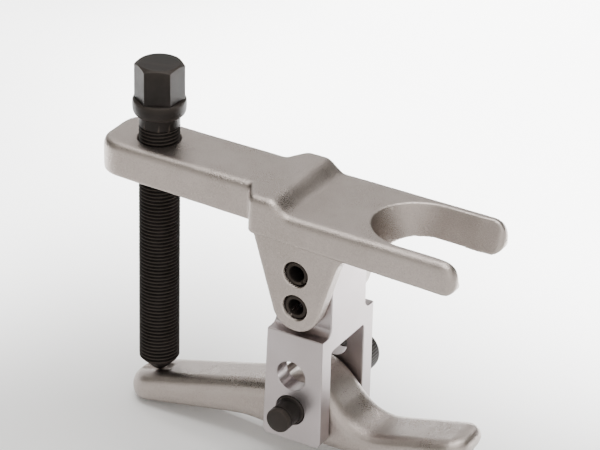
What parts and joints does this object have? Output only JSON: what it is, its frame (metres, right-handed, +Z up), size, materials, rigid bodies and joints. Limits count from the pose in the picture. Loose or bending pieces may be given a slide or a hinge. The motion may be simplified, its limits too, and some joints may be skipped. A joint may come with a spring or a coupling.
{
  "type": "ball joint separator",
  "caption": "Forged ball joint separator: slotted fork arm with a hex-headed forcing spindle, and a pinned yoke whose rocking lever presses against the fork.",
  "frame": {"origin": "centre of the flat top of the forcing spindle's hex", "axes": "+Z up along the spindle, out of its hex; +X from the spindle towards the fork's tips; +Y from the pivot pin's tail towards its knob"},
  "size_m": [0.1605, 0.0652, 0.1469],
  "materials": {
    "forged_steel": "satin, forged and tumbled, matt nickel plate",
    "machined_steel": "satin, milled faces, matt nickel plate",
    "black_oxide": "black oxide, semi-gloss",
    "bearing_steel": "polished"
  },
  "bodies": {
    "frame": {"fork_arm": "forged_steel", "yoke": "machined_steel", "upper_spring_pin": "black_oxide", "lower_spring_pin": "black_oxide"},
    "thrust": {"thrust_ball": "bearing_steel"},
    "spindle": {"forcing_spindle": "black_oxide"},
    "lever": {"lever": "forged_steel"},
    "pivot_pin": {"pivot_pin": "black_oxide", "detent_spring": "bearing_steel"},
    "detent_ball": {"detent_ball": "bearing_steel"}
  },
  "joints": [
    {"name": "spindle_feed", "type": "slide", "parent": "frame", "child": "thrust", "axis": [0, 0, -1], "range_m": [-0.015, 0.0099]},
    {"name": "spindle_turn", "type": "hinge", "parent": "thrust", "child": "spindle", "pos_m": [0, 0, -0.1315], "axis": [0, 0, -1], "range_deg": [-3605, 2380]},
    {"name": "lever_swing", "type": "hinge", "parent": "frame", "child": "lever", "pos_m": [0.0715, 0, -0.1193], "axis": [0, -1, 0], "range_deg": [-11.6, 7.7]},
    {"name": "pin_turn", "type": "hinge", "parent": "frame", "child": "pivot_pin", "pos_m": [0.0715, 0, -0.1193], "axis": [0, 1, 0], "continuous": true},
    {"name": "detent_press", "type": "slide", "parent": "pivot_pin", "child": "detent_ball", "axis": [0, 0, 1], "range_m": [0, 0.0016], "stiffness_N_per_m": 1500, "springref_m": -0.001, "deforming": ["detent_spring"]}
  ],
  "couplings": [
    {"joint": "spindle_turn", "follows": "spindle_feed", "rad_per_m": 4188.8},
    {"joint": "lever_swing", "follows": "spindle_feed", "rad_per_m": 13.333}
  ]
}
